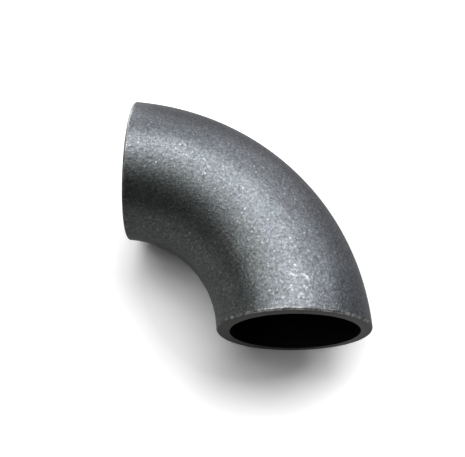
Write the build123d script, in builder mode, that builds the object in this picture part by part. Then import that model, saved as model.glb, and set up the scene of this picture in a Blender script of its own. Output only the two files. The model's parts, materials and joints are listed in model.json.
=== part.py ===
"""A long radius 90 degree elbow that is butt welded between two pipes.

The fitting is one seamless piece: a pipe formed hot around a bend, then cut square at both ends.
It lies on its side, as it would on a bench. Sizes are in millimetres and degrees.

The origin is the centre of end A, whose face looks along -Y. The bend turns about an upright axis
that stands one bend radius away along -X, so that the face of end B looks along -X.
"""

import os

from build123d import *

# Outside of the fitting
outside_diameter = 42.2
bend_radius = 48.0
bend_angle = 90.0

# Forming stretches the wall on the outside of the bend and gathers it on the inside
wall_outside_bend = 3.15
wall_inside_bend = 3.85

# The wall is too thin for a full weld bevel, so both ends are square with their edges broken
outer_edge_break = 0.4
bore_edge_break = 0.2

# The bore follows from the two walls: its centre line lies a little outside that of the pipe
bore_diameter = outside_diameter - wall_outside_bend - wall_inside_bend
bore_offset = (wall_inside_bend - wall_outside_bend) / 2

end_a_plane = Plane(origin=(0, 0, 0), x_dir=(1, 0, 0), z_dir=(0, -1, 0))
bend_axis = Axis((-bend_radius, 0, 0), (0, 0, 1))

with BuildPart() as elbow:
    with BuildSketch(end_a_plane):
        Circle(outside_diameter / 2)
        with Locations((bore_offset, 0)):
            Circle(bore_diameter / 2, mode=Mode.SUBTRACT)
    revolve(axis=bend_axis, revolution_arc=bend_angle)

    end_faces = elbow.faces().filter_by(GeomType.PLANE)
    outer_edges = [edge for face in end_faces for edge in face.outer_wire().edges()]
    bore_edges = [edge for face in end_faces for wire in face.inner_wires() for edge in wire.edges()]
    chamfer(outer_edges, length=outer_edge_break)
    chamfer(bore_edges, length=bore_edge_break)

elbow.part.label = "elbow"

os.makedirs("parts", exist_ok=True)
export_step(elbow.part, "parts/elbow.step")
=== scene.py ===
import json
import math

import bpy
from mathutils import Matrix, Vector


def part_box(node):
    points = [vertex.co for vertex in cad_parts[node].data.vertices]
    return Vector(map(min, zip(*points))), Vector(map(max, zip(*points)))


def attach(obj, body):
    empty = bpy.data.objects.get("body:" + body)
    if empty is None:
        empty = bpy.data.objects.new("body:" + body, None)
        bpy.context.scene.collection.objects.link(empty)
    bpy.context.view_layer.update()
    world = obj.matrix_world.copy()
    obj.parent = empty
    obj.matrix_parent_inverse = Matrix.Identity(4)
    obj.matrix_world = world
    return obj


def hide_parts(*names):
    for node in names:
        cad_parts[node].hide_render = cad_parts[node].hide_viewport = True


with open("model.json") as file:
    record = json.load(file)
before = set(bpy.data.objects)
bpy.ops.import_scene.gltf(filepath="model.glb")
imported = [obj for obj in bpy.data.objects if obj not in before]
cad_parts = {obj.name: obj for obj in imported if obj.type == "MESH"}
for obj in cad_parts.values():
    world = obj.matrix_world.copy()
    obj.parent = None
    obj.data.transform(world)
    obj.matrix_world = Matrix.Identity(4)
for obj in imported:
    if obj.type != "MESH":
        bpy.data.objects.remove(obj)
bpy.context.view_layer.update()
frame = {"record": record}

# A shot-blasted pipe elbow, bent through a right angle and cut square at both ends, on a white sheet.
# Sizes are in metres. End A's face is centred on the origin and looks along -Y, end B's looks along -X.

low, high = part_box("elbow")
mounts = {mount["name"]: mount for mount in frame["record"]["mounts"]}

# The pipe and its bend
outside_radius = (high.z - low.z) / 2
bend_radius = mounts["end_b"]["pos_m"][1]
bend_centre = Vector((-bend_radius, 0, 0))
bend_angle = math.radians(90)
wall_outside_bend = 0.00315
wall_inside_bend = 0.00385
bore_radius = outside_radius - (wall_outside_bend + wall_inside_bend) / 2
bore_offset = (wall_inside_bend - wall_outside_bend) / 2
outer_edge_break = 0.0006
bore_edge_break = 0.0002

# How finely the surface is divided
points_around = 360
steps_outside = 130
steps_bore = 40
end_step = math.radians(1.0)
rings_on_face = 7
edge_segments = 4
sharp_angle = math.radians(40)

# Points this near to each other touch, and points this near to the outside are on the skin
touching = 1e-6
skin_depth = 1e-5

# Blasting leaves the skin uneven, and the cut ends with small burrs
skin_wave_size = 0.0016
skin_wave_height = 0.00003
burr_size = 0.0006
burr_height = 0.00006
burr_reach = 1.1 * outer_edge_break

# End A is squeezed a little on the inner side of the bend
squeeze_at_end = 0.00078
squeezed_length = 0.016

# Marks on the blasted skin: how large they are, or how far apart
dimple_size = 0.0006
grain_size = 0.00072
cloud_size = 0.005
tint_size = 0.006
large_spark_size = 0.0010
small_spark_size = 0.00055

# The tone of the skin, from its darkest level up, and how much each kind of mark adds to it
darkest_skin = 0.077
skin_contrast = 0.42
grain_adds = 0.34
cloud_adds = 0.05
spark_adds = 0.7
scuff_adds = 0.75

# Stretches over which the skin changes: outward from the pipe's centre line, and onward from end A
# On the inner flank, towards end B, the skin is darkened as painted shade
inner_flank = (-0.010, -0.019)
inner_flank_onward = (0.015, 0.045)
outer_flank = (0.0, 0.018)
outer_flank_onward = (0.005, 0.045)
bluer_outward = (-0.016, -0.004)

# Curved scuffs on top of end A, placed as seen from above: each one's centre and radius of curve, then its
# middle, its reach from there and its strength
scuffs = (
    ((-0.00279, 0.00620), 0.00290, (-0.00064, 0.00814), 0.00165, 0.80),
    ((-0.00508, 0.00705), 0.00196, (-0.00392, 0.00862), 0.00080, 0.65),
    ((-0.00082, 0.00307), 0.00131, (0.00041, 0.00260), 0.00180, 0.28),
    ((-0.00189, 0.00254), 0.00117, (-0.00184, 0.00371), 0.00050, 0.45),
    ((-0.00621, 0.00186), 0.00104, (-0.00619, 0.00290), 0.00055, 0.50),
)
scuff_across = (0.00045, 0.00005)

# Marks on the edges, the cut faces and the bore. The rubbing fades over a stretch onward from end A.
fine_size = 0.0004
rub_size = 0.0018
rub_fades_onward = (0.003, 0.002)
face_patch_size = 0.0025
saw_ring_size = 0.00022
scale_patch_size = 0.004

# The outer part of a cut face starts over this stretch, along a border that wanders by so much
face_border = (outside_radius - 0.0016, outside_radius - 0.0010)
face_border_wander = 0.0012

# The sheet, and the ring around the fitting in which its shadow ends for the camera
sheet_size = 4.0
sheet_throws_back = 0.35
sheet_looks = 0.95
sheet_glow = 0.40
shadow_middle = Vector((-0.010, 0.025, 0))
shadow_end = (0.034, 0.050)

# The camera stands close above the fitting, and its picture is turned a little. Its place is in diameters.
picture_width = 465
sensor_width = 36.0
camera_focus_px = 459.3
camera_from_bend_centre = Vector((0.5135, -0.7609, 2.8717)) * 2 * outside_radius
camera_azimuth = math.radians(-8.677)
camera_elevation = math.radians(62.405)
camera_roll = math.radians(11.354)
camera_sees_from = 0.01

# The light of the room, and the lamps: elevation, azimuth from +X to +Y and width, all in degrees, and the
# level that each lamp gives to a white surface facing it
room_light = 0.04
lamps = (
    (8, 120, 34, 0.75),
    (28, 135, 26, 0.06),
    (66, 75, 26, 0.303),
    (66, 135, 26, 0.232),
    (28, 75, 26, 0.096),
    (48, 36, 26, 0.096),
    (50, 165, 16, 0.105),
    (70, 198, 16, 0.069),
    (8, 60, 26, 0.05),
    (38, 180, 16, 0.056),
    (38, 30, 16, 0.044),
    (28, 45, 26, 0.042),
    (79, 120, 16, 0.032),
    (8, 30, 26, 0.03),
    (60, 216, 16, 0.025),
)


# Places on the fitting


def from_pipe_line(place, offset=0.0):
    """How far a place lies from the bent centre line of the pipe, or of the bore inside it."""
    arm = place - bend_centre
    outward = math.hypot(arm.x, arm.y) - bend_radius - offset
    return math.hypot(outward, arm.z)


def depth_from_end(place):
    """How far a place lies inside the nearer of the two cut faces."""
    return min(place.y, place.x - bend_centre.x)


def on_top(x, y):
    """The place on top of the skin, straight above x and y."""
    outward = math.hypot(x - bend_centre.x, y) - bend_radius
    return (x, y, math.sqrt(outside_radius ** 2 - outward ** 2))


# Mesh


def nothing_selected():
    if bpy.context.object and bpy.context.object.mode != "OBJECT":
        bpy.ops.object.mode_set(mode="OBJECT")
    bpy.ops.object.select_all(action="DESELECT")


def select_vertices(piece, wanted):
    bpy.ops.mesh.select_mode(type="VERT")
    bpy.ops.mesh.select_all(action="DESELECT")
    bpy.ops.object.mode_set(mode="OBJECT")
    for vertex in piece.data.vertices:
        vertex.select = wanted(vertex.co)
    bpy.ops.object.mode_set(mode="EDIT")


def turn(steps, angle):
    """Spins the selection onward round the bend. The operator turns clockwise about its axis."""
    bpy.ops.mesh.spin(steps=steps, angle=angle, center=bend_centre, axis=(0, 0, -1))


def bent_wall(radius, offset, steps):
    """Draws a circle at end A and turns it round the bend, with one step of its own for each cut end."""
    bpy.ops.mesh.select_all(action="DESELECT")
    bpy.ops.mesh.primitive_circle_add(
        vertices=points_around, radius=radius, location=(offset, 0, 0), rotation=(math.radians(90), 0, 0)
    )
    turn(1, end_step)
    turn(steps, bend_angle - 2 * end_step)
    turn(1, end_step)


def fill_cut_face(piece, centre, outward):
    """Fills the ring of a cut face, in steps inward from its outer circle to that of the bore."""

    def on_outer_circle(place):
        if (place - centre).length > outside_radius + touching:
            return False
        return from_pipe_line(place) > outside_radius - touching

    select_vertices(piece, on_outer_circle)
    radius = outside_radius
    for step in range(rings_on_face):
        next_radius = outside_radius + (bore_radius - outside_radius) * (step + 1) / rings_on_face
        share = next_radius / radius
        middle = centre + outward * bore_offset * step / rings_on_face
        bpy.ops.mesh.extrude_edges_move()
        bpy.ops.transform.resize(value=(share, share, share), center_override=middle)
        bpy.ops.transform.translate(value=outward * bore_offset / rings_on_face)
        radius = next_radius


def bevel_edge(piece, radius, offset, size):
    """Rounds the circle of that radius at both ends."""

    def on_edge(place):
        return depth_from_end(place) < touching and abs(from_pipe_line(place, offset) - radius) < touching

    select_vertices(piece, on_edge)
    bpy.ops.mesh.bevel(offset=size, segments=edge_segments, profile=0.5, affect="EDGES")


def displace(piece, name, weight, **settings):
    """Moves the surface by a Displace modifier, as far as the weight at each place allows."""
    group = piece.vertex_groups.new(name=name)
    for vertex in piece.data.vertices:
        share = weight(vertex.co)
        if share > 0:
            group.add([vertex.index], share, "REPLACE")
    modifier = piece.modifiers.new(name, "DISPLACE")
    modifier.vertex_group = name
    for setting, value in settings.items():
        setattr(modifier, setting, value)
    bpy.ops.object.modifier_apply(modifier=name)


def roughen(piece, name, weight, size, height):
    """Moves the surface in and out with a solid cloudy pattern."""
    texture = bpy.data.textures.new(name, "CLOUDS")
    texture.noise_scale = size
    displace(piece, name, weight, texture=texture, texture_coords="LOCAL", strength=height, mid_level=0.5)


def skin_weight(place):
    """Full on the outside of the pipe, and none on the bore and near the cut ends."""
    if from_pipe_line(place) < outside_radius - skin_depth:
        return 0.0
    return min(1.0, max(0.0, depth_from_end(place) / outer_edge_break - 1.0))


def burr_weight(place):
    """Full on the broken outer edge of both ends."""
    on_edge = depth_from_end(place) < burr_reach and from_pipe_line(place) > outside_radius - burr_reach
    return 1.0 if on_edge else 0.0


def squeeze_weight(place):
    """Full on the inner side of the bend at end A, and fading out round the end and onward from it."""
    inner_share = max(0.0, -place.x / outside_radius)
    end_share = max(0.0, 1 - place.y / squeezed_length)
    return min(1.0, inner_share * end_share)


def make_elbow():
    nothing_selected()
    bpy.ops.mesh.primitive_circle_add(vertices=3, radius=outside_radius)
    piece = bpy.context.object
    piece.name = "elbow_body"
    bpy.ops.object.mode_set(mode="EDIT")
    bpy.ops.mesh.delete(type="VERT")
    bent_wall(outside_radius, 0.0, steps_outside)
    bent_wall(bore_radius, bore_offset, steps_bore)
    fill_cut_face(piece, Vector((0, 0, 0)), Vector((1, 0, 0)))
    fill_cut_face(piece, bend_centre + Vector((0, bend_radius, 0)), Vector((0, 1, 0)))
    bpy.ops.mesh.select_all(action="SELECT")
    bpy.ops.mesh.remove_doubles(threshold=touching)
    bpy.ops.mesh.normals_make_consistent(inside=False)
    bevel_edge(piece, outside_radius, 0.0, outer_edge_break)
    bevel_edge(piece, bore_radius, bore_offset, bore_edge_break)
    bpy.ops.object.mode_set(mode="OBJECT")
    dress(piece)
    roughen(piece, "blasted_skin", skin_weight, skin_wave_size, skin_wave_height)
    roughen(piece, "burred_edge", burr_weight, burr_size, burr_height)
    displace(piece, "squeezed", squeeze_weight, direction="X", strength=squeeze_at_end, mid_level=0.0)
    bpy.ops.object.shade_smooth_by_angle(angle=sharp_angle)
    modifier = piece.modifiers.new("flat_faces", "WEIGHTED_NORMAL")
    modifier.keep_sharp = True
    bpy.ops.object.modifier_apply(modifier="flat_faces")
    return piece


# Materials


class Wire:
    """The output of a node. Arithmetic on wires adds the Math nodes that work it out."""

    def __init__(self, finish, socket):
        self.finish = finish
        self.socket = socket

    def math(self, operation, *values):
        return self.finish.node("ShaderNodeMath", {"operation": operation}, dict(enumerate(values)))

    def __add__(self, other):
        return self.math("ADD", self, other)

    def __radd__(self, other):
        return self.math("ADD", other, self)

    def __sub__(self, other):
        return self.math("SUBTRACT", self, other)

    def __rsub__(self, other):
        return self.math("SUBTRACT", other, self)

    def __mul__(self, other):
        return self.math("MULTIPLY", self, other)

    def __rmul__(self, other):
        return self.math("MULTIPLY", other, self)

    def __pow__(self, other):
        return self.math("POWER", self, other)

    def __abs__(self):
        return self.math("ABSOLUTE", self)


class Finish:
    """A material, built up from nodes on its Principled shader."""

    def __init__(self, name):
        self.material = bpy.data.materials.new(name)
        self.material.use_nodes = True
        self.tree = self.material.node_tree
        self.shader = self.tree.nodes["Principled BSDF"]

    def node(self, kind, settings, inputs, output=0):
        """Adds a node of any kind, with its settings first and then the values or wires of its sockets."""
        made = self.tree.nodes.new(kind)
        for name, value in settings.items():
            setattr(made, name, value)
        self.connect(made, inputs)
        return Wire(self, made.outputs[output])

    def connect(self, node, inputs):
        for key, value in inputs.items():
            if isinstance(value, Wire):
                self.tree.links.new(value.socket, node.inputs[key])
            else:
                node.inputs[key].default_value = value

    def set(self, **inputs):
        """Sets sockets of the shader. An underscore in a name stands for a space."""
        self.connect(self.shader, {name.replace("_", " "): value for name, value in inputs.items()})

    def place(self):
        return self.node("ShaderNodeTexCoord", {}, {}, "Object")

    def part(self, place, axis):
        return self.node("ShaderNodeSeparateXYZ", {}, {"Vector": place}, axis)

    def distance(self, place, point):
        return self.node("ShaderNodeVectorMath", {"operation": "DISTANCE"}, {0: place, 1: point}, "Value")

    def out_of_bend(self, place):
        """How far a place lies outside the arc of the pipe's centre line, seen from above."""
        from_axis = self.part(place, "X") + bend_radius
        return (from_axis ** 2 + self.part(place, "Y") ** 2) ** 0.5 - bend_radius

    def from_pipe_line(self, place):
        """How far a place lies from the bent centre line of the pipe."""
        return (self.out_of_bend(place) ** 2 + self.part(place, "Z") ** 2) ** 0.5

    def between(self, value, first, last, start=0.0, end=1.0):
        """Goes from start to end while the value goes from first to last, and no further."""
        inputs = {"Value": value, "From Min": first, "From Max": last, "To Min": start, "To Max": end}
        return self.node("ShaderNodeMapRange", {"clamp": True}, inputs, "Result")

    def noise(self, place, size, detail=2.0, roughness=0.5):
        """A smooth random pattern from 0 to 1, whose features are about that size."""
        inputs = {"Vector": place, "Scale": 1 / size, "Detail": detail, "Roughness": roughness}
        return self.node("ShaderNodeTexNoise", {}, inputs, "Fac")

    def lines(self, value, size):
        """A random pattern from 0 to 1 that changes with one value only."""
        inputs = {"W": value, "Scale": 1 / size, "Detail": 1.0}
        return self.node("ShaderNodeTexNoise", {"noise_dimensions": "1D"}, inputs, "Fac")

    def cells(self, place, size, output):
        """Cells about that far apart: the distance from the middle of each, or a colour of its own."""
        return self.node("ShaderNodeTexVoronoi", {}, {"Vector": place, "Scale": 1 / size}, output)

    def sparks(self, place, size, reach, rare, full):
        """Round bright spots about that far apart, of which only the luckier ones light up. As colour they
        are partly painted glints.
        """
        brightest_within = 0.05
        spot = self.between(self.cells(place, size, "Distance"), reach, brightest_within)
        luck = self.between(self.cells(place, size, "Color"), rare, full)
        return spot * luck

    def colour(self, red, green, blue):
        return self.node("ShaderNodeCombineColor", {}, {"Red": red, "Green": green, "Blue": blue}, "Color")

    def mix(self, share, first, second):
        """Mixes two colours."""
        return self.node("ShaderNodeMix", {"data_type": "RGBA"}, {0: share, 6: first, 7: second}, 2)

    def bump(self, height, depth):
        return self.node("ShaderNodeBump", {}, {"Height": height, "Distance": depth}, "Normal")


def grey(level, red=1.0, blue=1.0):
    return (level * red, level, level * blue, 1.0)


def scuff_mark(finish, place, centre, radius, middle, reach):
    """A thin curved mark that fades out across its curve and towards its ends."""
    off_curve = abs(finish.distance(place, on_top(*centre)) - radius)
    from_middle = finish.distance(place, on_top(*middle))
    return finish.between(off_curve, *scuff_across) * finish.between(from_middle, reach, reach * 0.3)


def blasted_steel():
    """Dark steel under a dense cover of small shot dimples, the brightest of which glitter. Its inner
    flank towards end B is darkened as painted shade.
    """
    finish = Finish("blasted_steel")
    place = finish.place()
    onward = finish.part(place, "Y")
    outward = finish.out_of_bend(place)
    painted_shade_inner_flank = finish.between(outward, *inner_flank) * finish.between(onward, *inner_flank_onward)
    far_outer = finish.between(outward, *outer_flank) * finish.between(onward, *outer_flank_onward)

    dimples = finish.cells(place, dimple_size, "Distance") ** 2
    grain = finish.noise(place, grain_size, roughness=0.65)
    cloud = finish.noise(place, cloud_size, detail=3.0)
    large_sparks = finish.sparks(place, large_spark_size, reach=0.36, rare=0.55, full=0.90)
    small_sparks = finish.sparks(place, small_spark_size, reach=0.5, rare=0.40, full=0.85)
    # Sparks brighten the colour and smooth the skin in spots: real facets, with their glitter partly a
    # painted highlight
    spark = large_sparks + small_sparks * 0.5

    tone = finish.between(grain, 0.28, 0.72) * grain_adds
    tone = tone + finish.between(cloud, 0.3, 0.7) * cloud_adds + spark * spark_adds
    for centre, radius, middle, reach, strength in scuffs:
        mark = scuff_mark(finish, place, centre, radius, middle, reach)
        tone = tone + mark * (grain + 0.4) * (strength * scuff_adds)
    # Painted shade: the level drops by up to 0.30 on the inner flank towards end B
    level = (tone * skin_contrast + darkest_skin) * (1.0 - painted_shade_inner_flank * 0.30)

    tint = finish.between(finish.noise(place, tint_size, detail=1.0), 0.35, 0.65)
    red = far_outer * 0.085 + tint * 0.03 + 0.915
    blue = finish.between(outward, *bluer_outward, start=0.96, end=1.085) + far_outer * 0.02
    finish.set(
        Base_Color=finish.colour(level * red, level, level * blue),
        Roughness=finish.between(spark, 0.0, 1.0, start=0.42, end=0.36),
        Normal=finish.bump(dimples + grain * 0.5, depth=0.00003),
        Metallic=1.0,
    )
    return finish.material


def worn_edge():
    """The broken edge of an end, rubbed bright here and there and most at end A, and lighter on its upper
    side as painted highlight.
    """
    finish = Finish("worn_edge")
    place = finish.place()
    # Painted highlight: the edge counts as more rubbed, and so lighter, on its upper side
    painted_highlight_on_top = finish.between(finish.part(place, "Z"), outside_radius * 0.45, outside_radius * 0.85)
    rub_share = finish.between(finish.part(place, "Y"), *rub_fades_onward, start=0.25, end=1.0)
    rub = finish.noise(place, rub_size, detail=4.0, roughness=0.7) + painted_highlight_on_top * 0.15
    rubbed = finish.between(rub, 0.52, 0.76) * rub_share
    fine = finish.noise(place, fine_size)
    finish.set(
        Base_Color=finish.mix(rubbed, grey(0.15), grey(0.82)),
        Roughness=finish.between(fine, 0.3, 0.7, start=0.44, end=0.54),
        Normal=finish.bump(fine, depth=0.00002),
        Metallic=1.0,
    )
    return finish.material


def cut_steel():
    """The sawn face of an end, with faint rings from the saw. Its outer part is darker and less even."""
    finish = Finish("cut_steel")
    place = finish.place()
    radius = finish.from_pipe_line(place)
    fine = finish.noise(place, fine_size, detail=3.0, roughness=0.7)
    patch = finish.noise(place, face_patch_size)
    rings = finish.lines(radius, saw_ring_size)
    tone = finish.between(fine, 0.25, 0.75) * 0.6 + patch * 0.15 + rings * 0.25
    outer = finish.between(radius + patch * face_border_wander, *face_border)
    inner_part = finish.mix(tone, grey(0.110, red=1.02, blue=0.97), grey(0.190, red=1.02, blue=0.97))
    outer_part = finish.mix(tone, grey(0.045, red=0.98, blue=0.98), grey(0.210, red=0.98, blue=0.98))
    finish.set(
        Base_Color=finish.mix(outer, inner_part, outer_part),
        Roughness=finish.between(fine, 0.3, 0.7, start=0.40, end=0.52),
        Normal=finish.bump(rings + fine, depth=0.000015),
        Metallic=1.0,
    )
    return finish.material


def bore_scale():
    """The dark forming scale that blasting leaves inside the bore, made near black so that it also paints
    in the shade within.
    """
    finish = Finish("bore_scale")
    place = finish.place()
    patch = finish.noise(place, scale_patch_size, detail=4.0)
    fine = finish.noise(place, fine_size)
    finish.set(
        # Near black: dark scale, and painted shade deep in the bore
        Base_Color=finish.mix(patch, grey(0.003), grey(0.008)),
        Roughness=0.8,
        Specular_IOR_Level=0.05,
        Normal=finish.bump(fine, depth=0.00003),
    )
    return finish.material


def dress(piece):
    """Gives the skin, the cut faces, the bore and the broken outer edges their own materials."""
    skin, cut_face, bore, edge = range(4)
    for material in (blasted_steel(), cut_steel(), bore_scale(), worn_edge()):
        piece.data.materials.append(material)
    for face in piece.data.polygons:
        depth = depth_from_end(face.center)
        if depth < touching:
            face.material_index = cut_face
        elif from_pipe_line(face.center, bore_offset) < bore_radius + bore_edge_break:
            face.material_index = bore
        elif depth < outer_edge_break:
            face.material_index = edge
        else:
            face.material_index = skin


# Stage


def white_sheet():
    """The sheet under the fitting, which looks white but throws back less light, so that the fitting's
    underside stays darker.

    Away from the fitting it glows for the camera alone, up to full white, so that the shadow ends there.
    """
    nothing_selected()
    bpy.ops.mesh.primitive_plane_add(size=sheet_size, location=(bend_centre.x / 2, bend_radius / 2, low.z))
    sheet = bpy.context.object
    sheet.name = "white_sheet"
    middle = (shadow_middle.x - sheet.location.x, shadow_middle.y - sheet.location.y, 0)
    finish = Finish("white_sheet")
    seen = finish.node("ShaderNodeLightPath", {}, {}, "Is Camera Ray")
    far = finish.between(finish.distance(finish.place(), middle), *shadow_end)
    finish.set(
        Base_Color=finish.mix(seen, grey(sheet_throws_back), grey(sheet_looks)),
        Roughness=0.9,
        Specular_IOR_Level=0.0,
        Emission_Color=finish.mix(seen * far, grey(0.0), grey(sheet_glow)),
        Emission_Strength=1.0,
    )
    sheet.data.materials.append(finish.material)
    return sheet


def place_camera():
    """Puts the camera where the outlines of the fitting meet those of the photograph."""
    azimuth, elevation, roll = camera_azimuth, camera_elevation, camera_roll
    level_reach = math.cos(elevation)
    back = Vector((math.sin(azimuth) * level_reach, -math.cos(azimuth) * level_reach, math.sin(elevation)))
    level_right = Vector((math.cos(azimuth), math.sin(azimuth), 0))
    level_up = back.cross(level_right)
    right = math.cos(roll) * level_right + math.sin(roll) * level_up
    up = math.cos(roll) * level_up - math.sin(roll) * level_right
    data = bpy.data.cameras.new("camera")
    data.sensor_fit = "HORIZONTAL"
    data.sensor_width = sensor_width
    data.lens = sensor_width * camera_focus_px / picture_width
    data.clip_start = camera_sees_from
    camera = bpy.data.objects.new("camera", data)
    bpy.context.scene.collection.objects.link(camera)
    turned = Matrix((right, up, back)).transposed().to_4x4()
    camera.matrix_world = Matrix.Translation(bend_centre + camera_from_bend_centre) @ turned
    bpy.context.scene.camera = camera


def white_room():
    """Looks white to the camera, but gives next to no light."""
    world = bpy.data.worlds.new("room")
    world.use_nodes = True
    nodes, links = world.node_tree.nodes, world.node_tree.links
    background = nodes["Background"]
    background.inputs["Color"].default_value = grey(1.0)
    seen = nodes.new("ShaderNodeLightPath")
    level = nodes.new("ShaderNodeMapRange")
    level.inputs["To Min"].default_value = room_light
    level.inputs["To Max"].default_value = 1.0
    links.new(seen.outputs["Is Camera Ray"], level.inputs["Value"])
    links.new(level.outputs["Result"], background.inputs["Strength"])
    bpy.context.scene.world = world


def soft_lamp(elevation, azimuth, width, level):
    """A wide lamp, far away in that direction."""
    height, heading = math.radians(elevation), math.radians(azimuth)
    level_reach = math.cos(height)
    towards = Vector((math.cos(heading) * level_reach, math.sin(heading) * level_reach, math.sin(height)))
    data = bpy.data.lights.new("lamp", "SUN")
    data.energy = level * math.pi
    data.angle = math.radians(width)
    lamp = bpy.data.objects.new("lamp", data)
    bpy.context.scene.collection.objects.link(lamp)
    lamp.matrix_world = towards.to_track_quat("Z", "Y").to_matrix().to_4x4()


elbow = make_elbow()
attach(elbow, "root")
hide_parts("elbow")
white_sheet()
place_camera()
white_room()
for elevation, azimuth, width, level in lamps:
    soft_lamp(elevation, azimuth, width, level)
bpy.context.scene.view_settings.view_transform = "Standard"
